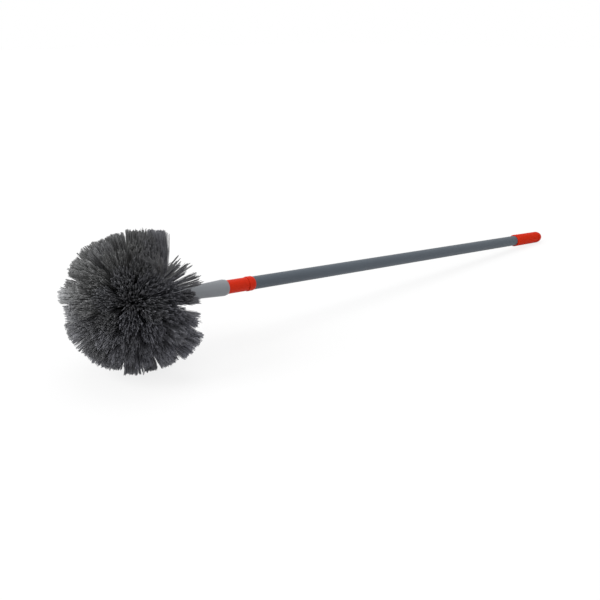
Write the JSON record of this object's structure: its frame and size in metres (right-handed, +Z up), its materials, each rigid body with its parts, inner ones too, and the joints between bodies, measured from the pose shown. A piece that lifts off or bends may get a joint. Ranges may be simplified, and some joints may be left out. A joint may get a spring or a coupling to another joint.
{
  "type": "cobweb brush",
  "caption": "Cobweb brush with a ball of dark tufts on a tapered socket and a telescopic tube pole with a twist lock and a rounded end cap.",
  "frame": {"origin": "on the floor under the middle of the whole brush, as it lies on its tufts and its end cap with the pole pushed in", "axes": "+Z up, +X from the ball of tufts towards the end cap, with the pole in the XZ plane; the pole drops towards the cap by 4.91 degrees"},
  "size_m": [1.2207, 0.215, 0.214],
  "materials": {
    "bristle": "satin",
    "block_plastic": "satin",
    "orange_plastic": "satin",
    "tube_coating": "satin",
    "staple_wire": "satin",
    "spindle_steel": "satin",
    "lock_plastic": "matte"
  },
  "bodies": {
    "outer_pole": {"outer_tube": "tube_coating", "guide_collar": "orange_plastic", "end_cap": "orange_plastic"},
    "lock_slider": {"lock_sleeve": "lock_plastic"},
    "lock_wedge": {"lock_cone": "lock_plastic"},
    "inner_pole": {"inner_tube": "tube_coating", "pole_tip": "orange_plastic", "lock_plug": "lock_plastic", "lock_spindle": "spindle_steel", "spindle_nut": "spindle_steel"},
    "brush_head": {"brush_block": "block_plastic", "tuft_anchors": "staple_wire", "nose_tuft": "bristle", "tuft_ring_1": "bristle", "tuft_ring_2": "bristle", "tuft_ring_3": "bristle", "tuft_ring_4": "bristle", "tuft_ring_5": "bristle", "tuft_ring_6": "bristle", "rear_tuft_ring": "bristle"}
  },
  "joints": [
    {"name": "pole_slide", "type": "slide", "parent": "outer_pole", "child": "lock_slider", "axis": [-0.9963, 0, 0.0856], "range_m": [0, 0.62]},
    {"name": "lock_twist", "type": "hinge", "parent": "lock_slider", "child": "inner_pole", "pos_m": [0.38425, 0, 0.03074], "axis": [-0.9963, 0, 0.0856], "range_deg": [0, 180]},
    {"name": "cone_feed", "type": "slide", "parent": "lock_slider", "child": "lock_wedge", "axis": [-0.9963, 0, 0.0856], "range_m": [0, 0.001]},
    {"name": "head_release", "type": "slide", "parent": "inner_pole", "child": "brush_head", "axis": [-0.9963, 0, 0.0856], "range_m": [0, 0.045]}
  ],
  "couplings": [
    {"joint": "cone_feed", "follows": "lock_twist", "m_per_rad": 0.00031831}
  ]
}
